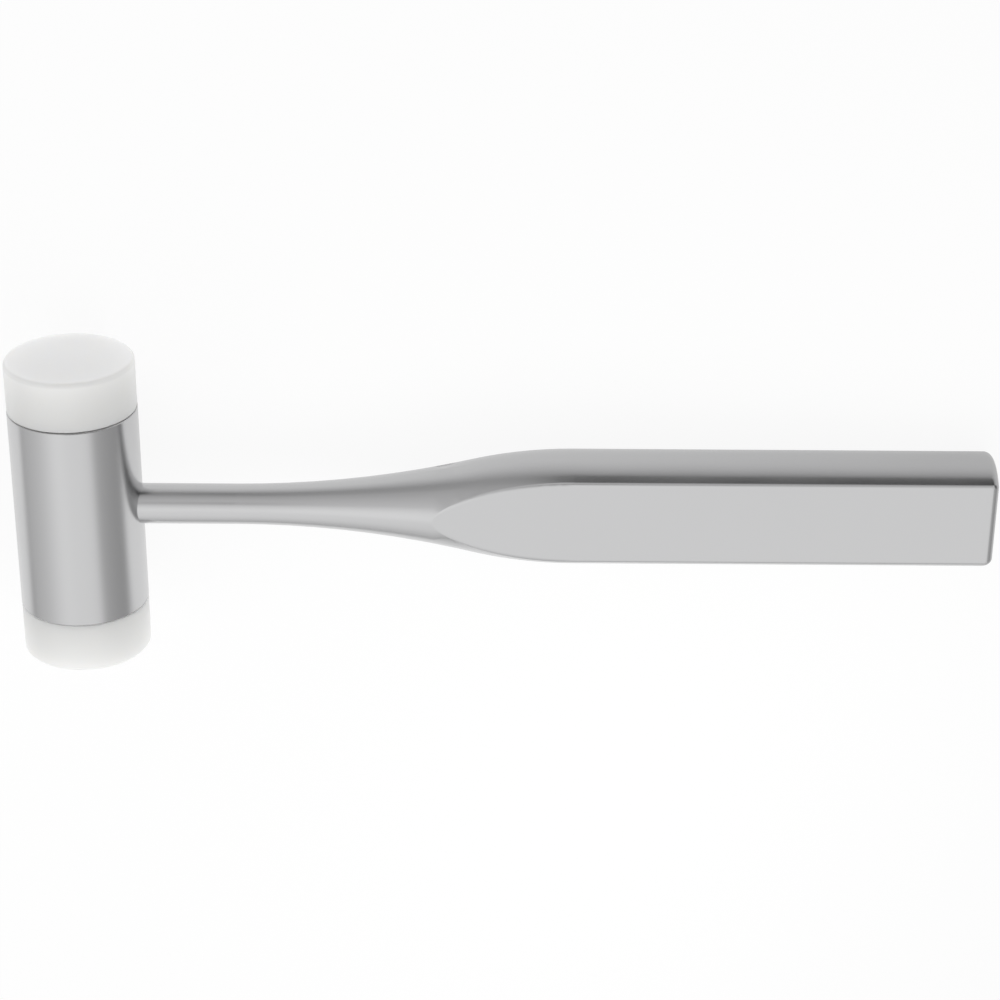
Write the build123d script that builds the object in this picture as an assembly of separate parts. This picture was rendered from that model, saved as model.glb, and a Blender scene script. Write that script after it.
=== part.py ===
from build123d import *

import math
import os

# A small bone mallet, lying as it comes to rest: the steel head is a short cylinder along Y with a
# plastic striking cap screwed into each end, and the one-piece steel handle runs towards +X.
# The floor is z = 0 and the origin is on it, under the middle of the mallet's box. Sizes are in mm.

# Steel body of the head
HEAD_DIAMETER = 25.0
BARREL_LENGTH = 41.2
RIM_ROUND = 0.15
SOCKET_WEB = 2.6  # steel left between a socket's drilled point and the handle's bore
SOCKET_COUNTERSINK = 0.6
DRILL_POINT_ANGLE = 118.0  # degrees, the cone that the drill leaves at the bottom of a socket

# Striking caps, each with its own stud
CAP_THICKNESS = 10.3
CAP_STEP_IN = 0.05  # a cap's side lies this much inside the steel, all round
CAP_EDGE_ROUND = 0.9
CAP_SEAT_CHAMFER = 0.2
STUD_DIAMETER = 10.0
STUD_CLEARANCE = 0.05  # radial, between stud and socket
STUD_END_ROOM = 1.0  # left free between the stud's end and the end of the full bore
STUD_TIP_CHAMFER = 1.0
THREAD_RELIEF_WIDTH = 1.8
THREAD_RELIEF_DEPTH = 0.85

# Handle, turned from one bar, its reach measured from the head's axis
HANDLE_REACH = 178.1
TENON_DEPTH = 18.0  # how far the neck goes into the head
TENON_CHAMFER = 0.5
NECK_DIAMETER = 7.9
NECK_LENGTH = 18.4  # straight part that shows
HOLLOW_RADIUS = 208.0  # long hollow curve that leaves the neck
SWELL_RADIUS = 92.0  # shorter round curve that meets the grip
GRIP_DIAMETER = 22.4
GRIP_THICKNESS = 15.0  # over the two milled flats
FLAT_EDGE_ROUND = 1.0
END_EDGE_ROUND = 1.6

head_radius = HEAD_DIAMETER / 2
cap_radius = head_radius - CAP_STEP_IN
stud_radius = STUD_DIAMETER / 2
neck_radius = NECK_DIAMETER / 2
grip_radius = GRIP_DIAMETER / 2
half_barrel = BARREL_LENGTH / 2
half_grip = GRIP_THICKNESS / 2

# A socket is as deep as the bore for the handle allows, and the stud as long as the socket allows
socket_radius = stud_radius + STUD_CLEARANCE
socket_point = socket_radius / math.tan(math.radians(DRILL_POINT_ANGLE / 2))
socket_depth = half_barrel - neck_radius - SOCKET_WEB - socket_point
stud_length = socket_depth - STUD_END_ROOM


def turned(outline, axis):
    """Turn a closed outline, drawn on the XY plane, round an axis."""
    return revolve(make_face(Polyline(*outline, close=True)), axis)


def head_barrel():
    """Steel cylinder along Y, with a threaded socket in each end and a blind bore for the handle."""
    barrel = turned(
        [(0, -half_barrel), (head_radius, -half_barrel), (head_radius, half_barrel), (0, half_barrel)],
        Axis.Y,
    )
    rims = barrel.edges().filter_by(GeomType.CIRCLE)
    barrel = fillet(rims, RIM_ROUND)

    mouth_radius = socket_radius + SOCKET_COUNTERSINK
    socket = turned(
        [
            (0, half_barrel),
            (mouth_radius, half_barrel),
            (socket_radius, half_barrel - SOCKET_COUNTERSINK),
            (socket_radius, half_barrel - socket_depth),
            (0, half_barrel - socket_depth - socket_point),
        ],
        Axis.Y,
    )
    bore = turned(
        [
            (head_radius - TENON_DEPTH, 0),
            (head_radius - TENON_DEPTH, neck_radius),
            (HEAD_DIAMETER, neck_radius),
            (HEAD_DIAMETER, 0),
        ],
        Axis.X,
    )
    return barrel - socket - mirror(socket, Plane.XZ) - bore


def striking_cap():
    """Cap and stud in one, seated on the plane y = 0 with its striking face towards +Y."""
    root_radius = stud_radius - THREAD_RELIEF_DEPTH
    cap = turned(
        [
            (0, -stud_length),
            (stud_radius - STUD_TIP_CHAMFER, -stud_length),
            (stud_radius, -stud_length + STUD_TIP_CHAMFER),
            (stud_radius, -THREAD_RELIEF_WIDTH),
            (root_radius, -THREAD_RELIEF_WIDTH + THREAD_RELIEF_DEPTH),
            (root_radius, 0),
            (cap_radius - CAP_SEAT_CHAMFER, 0),
            (cap_radius, CAP_SEAT_CHAMFER),
            (cap_radius, CAP_THICKNESS),
            (0, CAP_THICKNESS),
        ],
        Axis.Y,
    )
    striking_rim = cap.edges().filter_by(GeomType.CIRCLE).group_by(Axis.Y)[-1]
    return fillet(striking_rim, CAP_EDGE_ROUND)


def handle():
    """Bar turned to tenon, neck, flare and grip along X, then milled flat above and below."""
    turn = math.acos(1 - (grip_radius - neck_radius) / (HOLLOW_RADIUS + SWELL_RADIUS))
    tenon_end = head_radius - TENON_DEPTH
    flare_start = head_radius + NECK_LENGTH
    bend = (
        flare_start + HOLLOW_RADIUS * math.sin(turn),
        neck_radius + HOLLOW_RADIUS * (1 - math.cos(turn)),
    )
    flare_end = flare_start + (HOLLOW_RADIUS + SWELL_RADIUS) * math.sin(turn)

    side = [
        Polyline(
            (flare_start, neck_radius),
            (tenon_end + TENON_CHAMFER, neck_radius),
            (tenon_end, neck_radius - TENON_CHAMFER),
            (tenon_end, 0),
            (HANDLE_REACH, 0),
            (HANDLE_REACH, grip_radius),
            (flare_end, grip_radius),
        ),
        TangentArc((flare_start, neck_radius), bend, tangent=(1, 0)),
        TangentArc(bend, (flare_end, grip_radius), tangent=(math.cos(turn), math.sin(turn))),
    ]
    bar = revolve(make_face(side), Axis.X)
    between_flats = Box(2 * HANDLE_REACH, 2 * GRIP_DIAMETER, GRIP_THICKNESS)
    milled = bar & between_flats

    flats = milled.faces().filter_by(Plane.XY)
    end_face = milled.faces().sort_by(Axis.X)[-1]
    end_edges = end_face.edges()
    flat_edges = [edge for flat in flats for edge in flat.edges() if edge not in end_edges]
    milled = fillet(flat_edges, FLAT_EDGE_ROUND)
    end_face = milled.faces().sort_by(Axis.X)[-1]
    return fillet(end_face.edges(), END_EDGE_ROUND)


# The head rests on its side and the handle on the lower edge of its end, which tips it a little.
# The low corner of the end is an arc round (corner_x, -corner_z), seen from the head's axis.
corner_x = HANDLE_REACH - END_EDGE_ROUND
corner_z = half_grip - END_EDGE_ROUND
drop = head_radius - END_EDGE_ROUND
tip = math.asin(drop / math.hypot(corner_x, corner_z)) - math.atan(corner_z / corner_x)
far_end = corner_x * math.cos(tip) + corner_z * math.sin(tip) + END_EDGE_ROUND
middle = (far_end - head_radius) / 2
at_rest = Pos(-middle, 0, head_radius) * Rot(0, math.degrees(tip), 0)

seat = Pos(0, half_barrel, 0)
nodes = {
    "head_barrel": head_barrel(),
    "handle": handle(),
    "upper_cap": seat * striking_cap(),
    "lower_cap": Rot(180, 0, 0) * seat * striking_cap(),
}

os.makedirs("parts", exist_ok=True)
for name, solid in nodes.items():
    placed = at_rest * solid
    placed.label = name
    export_step(placed, f"parts/{name}.step")
    print(name, placed.bounding_box())
print("head axis at", (at_rest * Pos(0, 0, 0)).position, "tip", math.degrees(tip), "stud", stud_length)
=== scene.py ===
import math

import bpy
from mathutils import Matrix, Vector


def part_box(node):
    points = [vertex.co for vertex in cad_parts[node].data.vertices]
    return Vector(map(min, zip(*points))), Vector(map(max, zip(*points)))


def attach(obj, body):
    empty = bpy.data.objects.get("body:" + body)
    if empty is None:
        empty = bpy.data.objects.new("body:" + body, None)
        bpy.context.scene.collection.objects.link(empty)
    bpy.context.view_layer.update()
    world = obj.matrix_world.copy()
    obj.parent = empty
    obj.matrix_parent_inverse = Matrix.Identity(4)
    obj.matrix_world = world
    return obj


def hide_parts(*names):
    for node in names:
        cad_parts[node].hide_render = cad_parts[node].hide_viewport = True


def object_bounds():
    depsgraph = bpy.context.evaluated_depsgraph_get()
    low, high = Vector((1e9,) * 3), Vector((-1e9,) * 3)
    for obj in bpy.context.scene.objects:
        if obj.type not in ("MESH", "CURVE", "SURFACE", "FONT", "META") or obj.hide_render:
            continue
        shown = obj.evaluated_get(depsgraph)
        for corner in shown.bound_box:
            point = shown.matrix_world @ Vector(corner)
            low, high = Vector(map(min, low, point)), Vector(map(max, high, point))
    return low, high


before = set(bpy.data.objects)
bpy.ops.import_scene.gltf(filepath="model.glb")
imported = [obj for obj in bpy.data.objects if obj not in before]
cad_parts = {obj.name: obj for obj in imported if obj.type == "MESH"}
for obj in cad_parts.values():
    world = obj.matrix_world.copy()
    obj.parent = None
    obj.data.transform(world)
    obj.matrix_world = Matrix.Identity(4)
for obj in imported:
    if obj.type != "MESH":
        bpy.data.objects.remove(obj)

cad_low, cad_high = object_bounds()

# Steel body of the head. It is turned from stainless bar, satin finished, with a blind threaded
# socket in each end for a striking cap and a plain cross bore that holds the handle's tenon.
MM = 0.001
STEEL_GREY = (0.60, 0.60, 0.605, 1.0)
HAIRLINE_SCALE = 900.0
HAIRLINE_STRENGTH = 0.12
HAIRLINE_DEPTH = 0.04 * MM
POLISH_PATCH_SCALE = 60.0
BEST_POLISH = 0.19
DULLEST_POLISH = 0.28
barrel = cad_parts["head_barrel"]
barrel_low, barrel_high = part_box("head_barrel")
head_axis = (barrel_low + barrel_high) / 2
barrel_length = barrel_high.y - barrel_low.y


def satin_steel(name, lay):
    """Stainless steel in patches of polish; lay stretches its hairlines the way it was worked."""
    steel = bpy.data.materials.new(name)
    steel.use_nodes = True
    nodes, links = steel.node_tree.nodes, steel.node_tree.links
    metal = nodes["Principled BSDF"]
    metal.inputs["Base Color"].default_value = STEEL_GREY
    metal.inputs["Metallic"].default_value = 1.0
    place = nodes.new("ShaderNodeTexCoord")

    patches = nodes.new("ShaderNodeTexNoise")
    patches.inputs["Scale"].default_value = POLISH_PATCH_SCALE
    patches.inputs["Detail"].default_value = 3.0
    links.new(place.outputs["Object"], patches.inputs["Vector"])
    polish = nodes.new("ShaderNodeMapRange")
    polish.inputs["To Min"].default_value = BEST_POLISH
    polish.inputs["To Max"].default_value = DULLEST_POLISH
    links.new(patches.outputs["Fac"], polish.inputs["Value"])
    links.new(polish.outputs["Result"], metal.inputs["Roughness"])

    stretch = nodes.new("ShaderNodeMapping")
    stretch.inputs["Scale"].default_value = lay
    links.new(place.outputs["Object"], stretch.inputs["Vector"])
    hairlines = nodes.new("ShaderNodeTexNoise")
    hairlines.inputs["Scale"].default_value = HAIRLINE_SCALE
    hairlines.inputs["Detail"].default_value = 4.0
    links.new(stretch.outputs["Vector"], hairlines.inputs["Vector"])
    grain = nodes.new("ShaderNodeBump")
    grain.inputs["Strength"].default_value = HAIRLINE_STRENGTH
    grain.inputs["Distance"].default_value = HAIRLINE_DEPTH
    links.new(hairlines.outputs["Fac"], grain.inputs["Height"])
    links.new(grain.outputs["Normal"], metal.inputs["Normal"])
    return steel


barrel_steel = satin_steel("turned_steel", lay=(0.12, 1.0, 0.12))
barrel.data.materials[0] = barrel_steel

# Threads of the two sockets, cut in the steel of the head: a right-hand metric thread of 1.5 mm
# pitch. Each is a closed sleeve of steel whose plain outside lies in the wall of the bore.
THREAD_PITCH = 1.5 * MM
THREAD_DEPTH = 0.82 * MM
CREST_SHARE = 0.125
ROOT_SHARE = 0.25
SOCKET_RADIUS = 5.05 * MM
SOCKET_THREAD_FROM = 0.65 * MM
SOCKET_THREAD_TO = 10.5 * MM
SLEEVE_HALF_WALL = 0.02 * MM
AROUND = 120
ROWS_PER_PITCH = 24
RUNOUT_ROWS = 12


def thread_height(turn, along):
    """Height of a thread above its root, from 0 to 1, at a turn of the screw and a place along it."""
    phase = (along / THREAD_PITCH - turn) % 1.0
    from_crest = abs(phase - 0.5) * 2
    flank = (1.0 - ROOT_SHARE - from_crest) / (1.0 - ROOT_SHARE - CREST_SHARE)
    return min(1.0, max(0.0, flank))


def ring(along, radius):
    """One ring round +Y; radius is a number, or a function of the share of a full turn."""
    points = []
    for step in range(AROUND):
        turn = step / AROUND
        reach = radius(turn) if callable(radius) else radius
        angle = 2 * math.pi * turn
        points.append((reach * math.sin(angle), along, reach * math.cos(angle)))
    return points


def skin(name, rings, closed):
    """Piece with a mesh over rings; closed joins the last ring to the first, else both are capped."""
    points = [point for one_ring in rings for point in one_ring]
    faces = []
    bands = len(rings) if closed else len(rings) - 1
    for band in range(bands):
        here = band * AROUND
        there = (band + 1) % len(rings) * AROUND
        for step in range(AROUND):
            side = (step + 1) % AROUND
            faces.append((here + step, here + side, there + side, there + step))
    if not closed:
        last = (len(rings) - 1) * AROUND
        faces.append(tuple(range(AROUND))[::-1])
        faces.append(tuple(range(last, last + AROUND)))
    mesh = bpy.data.meshes.new(name)
    mesh.from_pydata(points, [], faces)
    mesh.shade_smooth()
    piece = bpy.data.objects.new(name, mesh)
    bpy.context.scene.collection.objects.link(piece)
    return piece


def seat_in_head(piece, end):
    """Puts a piece made about +Y on the head's axis, its zero on that end face; end is 1 or -1."""
    turned_over = Matrix.Rotation(0.0 if end > 0 else math.pi, 4, "X")
    on_face = head_axis + Vector((0, end * barrel_length / 2, 0))
    piece.matrix_world = Matrix.Translation(on_face) @ turned_over


def socket_thread_ring(along, runout):
    """Ring of the cut thread, whose ridges stand in from the bore and fade with the runout."""
    bore = SOCKET_RADIUS - SLEEVE_HALF_WALL
    depth = THREAD_DEPTH * runout
    return ring(along, lambda turn: bore - depth * (1 - thread_height(turn, along)))


for side, end in (("upper", 1), ("lower", -1)):
    rows = int((SOCKET_THREAD_TO - SOCKET_THREAD_FROM) / (THREAD_PITCH / ROWS_PER_PITCH))
    rings = []
    for row in range(rows + 1):
        along = -SOCKET_THREAD_FROM - row * THREAD_PITCH / ROWS_PER_PITCH
        runout = min(1.0, row / RUNOUT_ROWS, (rows - row) / RUNOUT_ROWS)
        rings.append(socket_thread_ring(along, runout))
    rings.append(ring(along, SOCKET_RADIUS + SLEEVE_HALF_WALL))
    rings.append(ring(-SOCKET_THREAD_FROM, SOCKET_RADIUS + SLEEVE_HALF_WALL))
    socket_thread = skin(f"{side}_socket_thread", rings, closed=True)
    socket_thread.data.materials.append(barrel_steel)
    seat_in_head(socket_thread, end)
    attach(socket_thread, "mallet")

# Handle, turned from one stainless bar with a round neck, a long flare and a full-diameter grip,
# then milled flat above and below. The whole of it is satin finished, and the tenon is pressed in.
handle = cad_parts["handle"]
handle.data.materials[0] = satin_steel("ground_steel", lay=(0.25, 1.0, 1.0))

# Striking caps of white nylon, each turned in one piece with the stud that screws it into the head.
# The side is matt, the face carries faint turning rings, and a narrow step in the seat leaves a
# seam to the steel, which is wider at the upper cap.
CAP_RADIUS = 12.45 * MM
CAP_THICKNESS = cad_high.y - barrel_high.y
CAP_RIM_ROUND = 0.9 * MM
RIM_STEPS = 12
SEAT_STEP_WIDTH = 0.7 * MM
UPPER_SEAM = 0.27 * MM
LOWER_SEAM = 0.06 * MM
STUD_RADIUS = 4.97 * MM
STUD_ROOT_RADIUS = 4.15 * MM
STUD_RELIEF_WIDTH = 1.8 * MM
RELIEF_SLOPE = 1.7
STUD_TIP_CHAMFER = 1.0 * MM
STUD_FILLET = 0.25 * MM
FILLET_STEPS = 4
EDGE_BREAK = 0.08 * MM
STEP_BREAK = 0.02 * MM
BESIDE_EDGE = 0.05 * MM
FACE_CENTRE = 0.3 * MM
FACE_MIDWAY = 6.0 * MM
NYLON_SCATTER = 3.0 * MM
NYLON_WARMTH = 0.01
# Painted shade and light in the nylon's colour: darker towards the seat beside the steel and on the
# rounded rim, lighter on the striking face where light falls. Each row is the share of the way from
# seat to face and its grey.
NYLON_PAINTED_SHADE_FROM_SEAT = (
    (0.0, 0.71),
    (0.89, 0.85),
    (0.92, 0.81),
    (0.98, 0.82),
    (1.0, 0.97),
)
TOOL_MARK_SCALE = 2600.0
TOOL_MARK_STRENGTH = 0.15
TOOL_MARK_DEPTH = 0.05 * MM
stud_length = barrel_high.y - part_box("upper_cap")[0].y


def grey_ramp(nodes, stops, warmth=0.0):
    """Colour ramp of greys, a level at each place; warmth is taken off the blue."""
    ramp = nodes.new("ShaderNodeValToRGB")
    while len(ramp.color_ramp.elements) < len(stops):
        ramp.color_ramp.elements.new(0.5)
    for stop, (place, level) in zip(ramp.color_ramp.elements, stops):
        stop.position = place
        stop.color = (level, level, level - warmth, 1.0)
    return ramp


nylon = bpy.data.materials.new("white_nylon_turned")
nylon.use_nodes = True
nylon_nodes, nylon_links = nylon.node_tree.nodes, nylon.node_tree.links
plastic = nylon_nodes["Principled BSDF"]
plastic.inputs["Roughness"].default_value = 0.45
plastic.inputs["IOR"].default_value = 1.53
plastic.inputs["Subsurface Weight"].default_value = 1.0
plastic.inputs["Subsurface Radius"].default_value = (1.0, 0.98, 0.94)
plastic.inputs["Subsurface Scale"].default_value = NYLON_SCATTER
on_cap = nylon_nodes.new("ShaderNodeTexCoord")
way = nylon_nodes.new("ShaderNodeSeparateXYZ")
nylon_links.new(on_cap.outputs["Object"], way.inputs["Vector"])

from_seat = nylon_nodes.new("ShaderNodeMapRange")
from_seat.inputs["From Max"].default_value = CAP_THICKNESS
nylon_links.new(way.outputs["Y"], from_seat.inputs["Value"])
# The ramp paints this shade and light into the base colour by the place along the cap's axis.
painted_nylon_shade = grey_ramp(nylon_nodes, NYLON_PAINTED_SHADE_FROM_SEAT, NYLON_WARMTH)
nylon_links.new(from_seat.outputs["Result"], painted_nylon_shade.inputs["Fac"])
nylon_links.new(painted_nylon_shade.outputs["Color"], plastic.inputs["Base Color"])

across = nylon_nodes.new("ShaderNodeCombineXYZ")
nylon_links.new(way.outputs["X"], across.inputs["X"])
nylon_links.new(way.outputs["Z"], across.inputs["Z"])
from_axis = nylon_nodes.new("ShaderNodeVectorMath")
from_axis.operation = "LENGTH"
nylon_links.new(across.outputs["Vector"], from_axis.inputs[0])
tool_path = nylon_nodes.new("ShaderNodeCombineXYZ")
nylon_links.new(from_axis.outputs["Value"], tool_path.inputs["X"])
nylon_links.new(way.outputs["Y"], tool_path.inputs["Y"])
tool_marks = nylon_nodes.new("ShaderNodeTexNoise")
tool_marks.inputs["Scale"].default_value = TOOL_MARK_SCALE
tool_marks.inputs["Detail"].default_value = 2.0
nylon_links.new(tool_path.outputs["Vector"], tool_marks.inputs["Vector"])
turned_face = nylon_nodes.new("ShaderNodeBump")
turned_face.inputs["Strength"].default_value = TOOL_MARK_STRENGTH
turned_face.inputs["Distance"].default_value = TOOL_MARK_DEPTH
nylon_links.new(tool_marks.outputs["Fac"], turned_face.inputs["Height"])
nylon_links.new(turned_face.outputs["Normal"], plastic.inputs["Normal"])


def stud_ring(along):
    """Ring of the stud's thread, which stops at the cone of the tip and at that of the relief."""
    tip_cone = STUD_RADIUS - STUD_TIP_CHAMFER + (along + stud_length)
    relief_cone = STUD_ROOT_RADIUS + RELIEF_SLOPE * (-STUD_RELIEF_WIDTH - along)
    depth = STUD_RADIUS - STUD_ROOT_RADIUS
    return ring(
        along,
        lambda turn: min(STUD_ROOT_RADIUS + depth * thread_height(turn, along), tip_cone, relief_cone),
    )


def quarter_round(end_along, start_radius, size, outwards, steps):
    """Rings of a quarter round about the axis, which turns outwards (1) or inwards (-1)."""
    rings = []
    for step in range(steps + 1):
        bend = math.radians(90 * step / steps)
        along = end_along - size * (1 - math.sin(bend))
        radius = start_radius + outwards * size * (1 - math.cos(bend))
        rings.append(ring(along, radius))
    return rings


def striking_cap(name, seam):
    """Cap and threaded stud in one closed mesh, the seat on the head at zero and the stud along -Y."""
    rings = [
        ring(-stud_length, FACE_CENTRE),
        ring(-stud_length, STUD_ROOT_RADIUS - FACE_CENTRE),
    ]
    thread_start = -stud_length + BESIDE_EDGE
    thread_long = -STUD_RELIEF_WIDTH - thread_start
    rows = int(thread_long / (THREAD_PITCH / ROWS_PER_PITCH))
    for row in range(rows + 1):
        rings.append(stud_ring(thread_start + thread_long * row / rows))
    rings.append(ring(-STUD_FILLET - BESIDE_EDGE, STUD_ROOT_RADIUS))
    rings += quarter_round(0.0, STUD_ROOT_RADIUS, STUD_FILLET, 1, FILLET_STEPS)
    # Seat, step and side, each point by its place along the axis and its depth in from the side
    side_outline = (
        (0.0, SEAT_STEP_WIDTH + BESIDE_EDGE),
        (0.0, SEAT_STEP_WIDTH),
        (STEP_BREAK, SEAT_STEP_WIDTH - STEP_BREAK / 2),
        (seam - STEP_BREAK, SEAT_STEP_WIDTH - STEP_BREAK / 2),
        (seam, SEAT_STEP_WIDTH - STEP_BREAK * 1.5),
        (seam, EDGE_BREAK),
        (seam + STEP_BREAK, STEP_BREAK),
        (seam + EDGE_BREAK, 0.0),
        (seam + EDGE_BREAK + BESIDE_EDGE, 0.0),
        (CAP_THICKNESS - CAP_RIM_ROUND - BESIDE_EDGE, 0.0),
    )
    for along, inset in side_outline:
        rings.append(ring(along, CAP_RADIUS - inset))
    rings += quarter_round(CAP_THICKNESS, CAP_RADIUS, CAP_RIM_ROUND, -1, RIM_STEPS)
    rings.append(ring(CAP_THICKNESS, CAP_RADIUS - CAP_RIM_ROUND - BESIDE_EDGE))
    rings.append(ring(CAP_THICKNESS, FACE_MIDWAY))
    rings.append(ring(CAP_THICKNESS, FACE_CENTRE))
    return skin(name, rings, closed=False)


for side, end, seam in (("upper", 1, UPPER_SEAM), ("lower", -1, LOWER_SEAM)):
    cap = striking_cap(f"{side}_nylon_cap", seam)
    cap.data.materials.append(nylon)
    seat_in_head(cap, end)
    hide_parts(f"{side}_cap")
    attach(cap, f"{side}_cap")

# Floor: a plain white table top, wide enough for every view. The eye sees it nearly plain white with
# the mallet's soft shadow, and the metal sees it fall off with distance from the head.
FLOOR_HALF = 3.0
TABLE_WHITE = (0.92, 0.92, 0.92, 1.0)
WHITE_TO_THE_EYE = 0.90
WHITE_TO_THE_METAL = 0.80
FADE_MIDDLE_Y = -0.02
FADE_ALONG_HANDLE = 0.3
TABLE_FADES = (
    (0.0, 1.0),
    (0.03, 0.96),
    (0.045, 0.84),
    (0.055, 0.77),
    (0.065, 0.69),
    (0.08, 0.62),
    (0.10, 0.54),
    (0.16, 0.45),
    (0.25, 0.40),
)
floor_mesh = bpy.data.meshes.new("floor")
floor_corners = [
    (-FLOOR_HALF, -FLOOR_HALF, 0),
    (FLOOR_HALF, -FLOOR_HALF, 0),
    (FLOOR_HALF, FLOOR_HALF, 0),
    (-FLOOR_HALF, FLOOR_HALF, 0),
]
floor_mesh.from_pydata(floor_corners, [], [(0, 1, 2, 3)])
floor = bpy.data.objects.new("floor", floor_mesh)
bpy.context.scene.collection.objects.link(floor)
floor.location = (head_axis.x, FADE_MIDDLE_Y, 0)


def reckon(tree, operation, first, second):
    """Result of a Math node on one output and another, or on an output and a plain number."""
    result = tree.nodes.new("ShaderNodeMath")
    result.operation = operation
    tree.links.new(first, result.inputs[0])
    if isinstance(second, float):
        result.inputs[1].default_value = second
    else:
        tree.links.new(second, result.inputs[1])
    return result.outputs["Value"]


table = bpy.data.materials.new("white_table")
table.use_nodes = True
table_nodes, table_links = table.node_tree.nodes, table.node_tree.links
table_nodes.remove(table_nodes["Principled BSDF"])
lit = table_nodes.new("ShaderNodeBsdfDiffuse")
lit.inputs["Color"].default_value = TABLE_WHITE
plain = table_nodes.new("ShaderNodeEmission")
plain.inputs["Color"].default_value = (1.0, 1.0, 1.0, 1.0)
ray = table_nodes.new("ShaderNodeLightPath")

fade_end = TABLE_FADES[-1][0]
spot = table_nodes.new("ShaderNodeTexCoord")
drawn_out = table_nodes.new("ShaderNodeMapping")
drawn_out.inputs["Scale"].default_value = (FADE_ALONG_HANDLE, 1.0, 1.0)
table_links.new(spot.outputs["Object"], drawn_out.inputs["Vector"])
away = table_nodes.new("ShaderNodeVectorMath")
away.operation = "LENGTH"
table_links.new(drawn_out.outputs["Vector"], away.inputs[0])
far_off = table_nodes.new("ShaderNodeMapRange")
far_off.inputs["From Max"].default_value = fade_end
table_links.new(away.outputs["Value"], far_off.inputs["Value"])
fall_off = grey_ramp(table_nodes, [(reach / fade_end, level) for reach, level in TABLE_FADES])
table_links.new(far_off.outputs["Result"], fall_off.inputs["Fac"])
to_metal = table_nodes.new("ShaderNodeMix")
to_metal.inputs["A"].default_value = 1.0
table_links.new(ray.outputs["Is Glossy Ray"], to_metal.inputs["Factor"])
table_links.new(fall_off.outputs["Color"], to_metal.inputs["B"])
table_links.new(to_metal.outputs["Result"], plain.inputs["Strength"])

eye_or_glass = reckon(
    table.node_tree, "MAXIMUM", ray.outputs["Is Camera Ray"], ray.outputs["Is Transmission Ray"]
)
eye_share = reckon(table.node_tree, "MULTIPLY", eye_or_glass, WHITE_TO_THE_EYE)
metal_share = reckon(table.node_tree, "MULTIPLY", ray.outputs["Is Glossy Ray"], WHITE_TO_THE_METAL)
blend = table_nodes.new("ShaderNodeMixShader")
table_links.new(reckon(table.node_tree, "MAXIMUM", eye_share, metal_share), blend.inputs["Fac"])
table_links.new(lit.outputs["BSDF"], blend.inputs[1])
table_links.new(plain.outputs["Emission"], blend.inputs[2])
table_links.new(blend.outputs["Shader"], table_nodes["Material Output"].inputs["Surface"])
floor.data.materials.append(table)

# Light: a soft white tent all round, brightest overhead and towards the lower cap. It is dim beyond
# the end of the grip, has a dark gap low down behind the handle, and a small port for the lens.
TENT_POLE = (0.0, -0.45, 0.893)
TENT_SHADES = (
    (-0.45, 0.38),
    (-0.28, 0.44),
    (-0.05, 0.53),
    (0.20, 0.62),
    (0.38, 0.67),
    (0.52, 0.71),
    (0.66, 0.77),
    (0.76, 0.85),
    (0.87, 0.94),
    (1.0, 0.99),
)
TENT_PLACES = (
    ((0.88, -0.36, 0.30), 34.5, 21.0, 0.65),  # beyond the grip, on the lower cap's side
    ((0.385, 0.92, 0.07), 33.0, 14.0, 0.14),  # gap low down behind the handle
    ((0.027, 0.449, 0.893), 10.0, 4.0, 0.50),  # port for the lens
    ((-0.35, -0.15, 0.92), 24.0, 8.0, 1.12),  # brighter cloth over the head
    ((0.93, 0.30, 0.20), 30.0, 12.0, 0.25),  # beyond the end of the grip
)
tent = bpy.data.worlds.new("tent")
bpy.context.scene.world = tent
tent.use_nodes = True
tent_nodes, tent_links = tent.node_tree.nodes, tent.node_tree.links
glow = tent_nodes["Background"]
sky = tent_nodes.new("ShaderNodeTexCoord")


def nearness(way):
    """Cosine of the angle between a ray and one way out of the tent."""
    dot = tent_nodes.new("ShaderNodeVectorMath")
    dot.operation = "DOT_PRODUCT"
    dot.inputs[1].default_value = way
    tent_links.new(sky.outputs["Generated"], dot.inputs[0])
    return dot.outputs["Value"]


def place_in_tent(way, outer, inner, level):
    """Strength round one way: level within the inner angle, in degrees, and 1 outside the outer."""
    fade = tent_nodes.new("ShaderNodeMapRange")
    fade.interpolation_type = "SMOOTHSTEP"
    fade.inputs["From Min"].default_value = math.cos(math.radians(outer))
    fade.inputs["From Max"].default_value = math.cos(math.radians(inner))
    fade.inputs["To Min"].default_value = 1.0
    fade.inputs["To Max"].default_value = level
    tent_links.new(nearness(Vector(way).normalized()), fade.inputs["Value"])
    return fade.outputs["Result"]


shade_low = TENT_SHADES[0][0]
shade_high = TENT_SHADES[-1][0]
height = tent_nodes.new("ShaderNodeMapRange")
height.inputs["From Min"].default_value = shade_low
height.inputs["From Max"].default_value = shade_high
tent_links.new(nearness(TENT_POLE), height.inputs["Value"])
shades = grey_ramp(
    tent_nodes,
    [((place - shade_low) / (shade_high - shade_low), level) for place, level in TENT_SHADES],
)
shades.color_ramp.interpolation = "B_SPLINE"
tent_links.new(height.outputs["Result"], shades.inputs["Fac"])
tent_links.new(shades.outputs["Color"], glow.inputs["Color"])

strength = place_in_tent(*TENT_PLACES[0])
for place in TENT_PLACES[1:]:
    strength = reckon(tent.node_tree, "MULTIPLY", strength, place_in_tent(*place))
tent_links.new(strength, glow.inputs["Strength"])

plain_white = tent_nodes.new("ShaderNodeBackground")
eye = tent_nodes.new("ShaderNodeLightPath")
seen_tent = tent_nodes.new("ShaderNodeMixShader")
tent_links.new(eye.outputs["Is Camera Ray"], seen_tent.inputs["Fac"])
tent_links.new(glow.outputs["Background"], seen_tent.inputs[1])
tent_links.new(plain_white.outputs["Background"], seen_tent.inputs[2])
tent_links.new(seen_tent.outputs["Shader"], tent_nodes["World Output"].inputs["Surface"])

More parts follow.
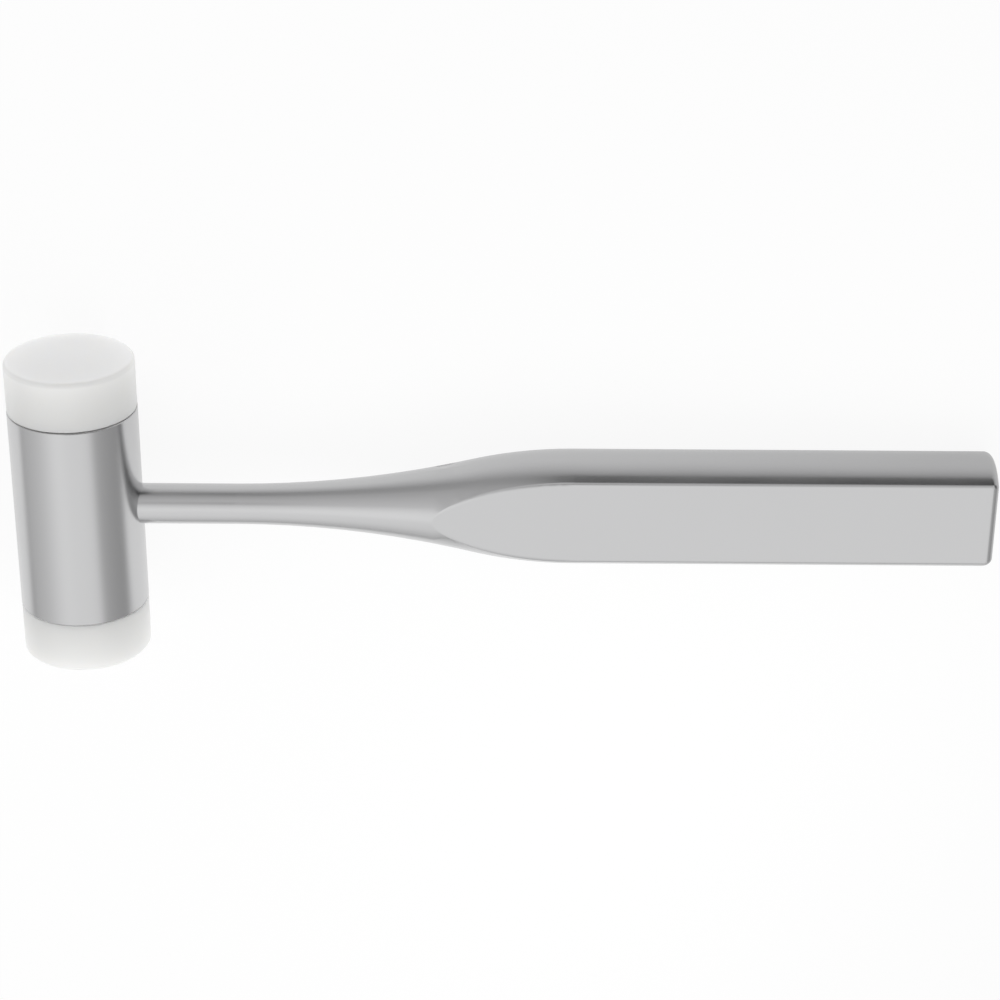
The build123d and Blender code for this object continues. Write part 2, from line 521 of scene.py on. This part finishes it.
# Lamps: two soft panels over the left and right of the lower cap, a weak one low behind the upper
# cap, and one lying on the table under the head. They light the caps and do not show in the steel.
TABLE_LAMP_ABOVE_FLOOR = 0.03 * MM


def soft_panel(name, place, wide, deep, power):
    """Flat lamp at a place measured from the middle of the head, which it faces."""
    panel = bpy.data.lights.new(name, "AREA")
    panel.shape = "RECTANGLE"
    panel.size = wide
    panel.size_y = deep
    panel.energy = power
    lamp = bpy.data.objects.new(name, panel)
    bpy.context.scene.collection.objects.link(lamp)
    lamp.location = head_axis + Vector(place)
    lamp.rotation_euler = Vector(place).to_track_quat("Z", "Y").to_euler()
    lamp.visible_camera = False
    lamp.visible_glossy = False
    return lamp


soft_panel("left_lamp", (-0.14, -0.09, 0.12), wide=0.15, deep=0.04, power=0.058)
soft_panel("right_lamp", (0.14, -0.09, 0.12), wide=0.15, deep=0.04, power=0.100)
soft_panel("back_lamp", (0.0, 0.20, 0.02), wide=0.15, deep=0.04, power=0.022)
under_head = (0.0, 0.0225, TABLE_LAMP_ABOVE_FLOOR - head_axis.z)
table_lamp = soft_panel("table_lamp", under_head, wide=0.14, deep=0.115, power=0.024)
table_lamp.rotation_euler = (math.pi, 0, 0)

# Camera: a long lens half a metre above the table, leaning towards the upper cap so that its
# striking face shows, with the handle to the right of the picture.
LENS = 96.2
PICTURE_WIDTH = 36.0
CAMERA_DISTANCE = 0.5217
LEAN_TO_UPPER_CAP = math.radians(26.69)
LEAN_TO_HANDLE = math.radians(1.53)
ROLL = math.radians(0.418)
AIM_FROM_MIDDLE = Vector((-0.64, 1.14, -2.41)) * MM
camera_data = bpy.data.cameras.new("camera")
camera_data.lens = LENS
camera_data.sensor_width = PICTURE_WIDTH
camera = bpy.data.objects.new("camera", camera_data)
bpy.context.scene.collection.objects.link(camera)
aim = (cad_low + cad_high) / 2 + AIM_FROM_MIDDLE
turn = (
    Matrix.Rotation(LEAN_TO_HANDLE, 4, "Y")
    @ Matrix.Rotation(-LEAN_TO_UPPER_CAP, 4, "X")
    @ Matrix.Rotation(ROLL, 4, "Z")
)
camera.matrix_world = Matrix.Translation(aim) @ turn @ Matrix.Translation((0, 0, CAMERA_DISTANCE))
bpy.context.scene.camera = camera
bpy.context.scene.view_settings.view_transform = "Standard"
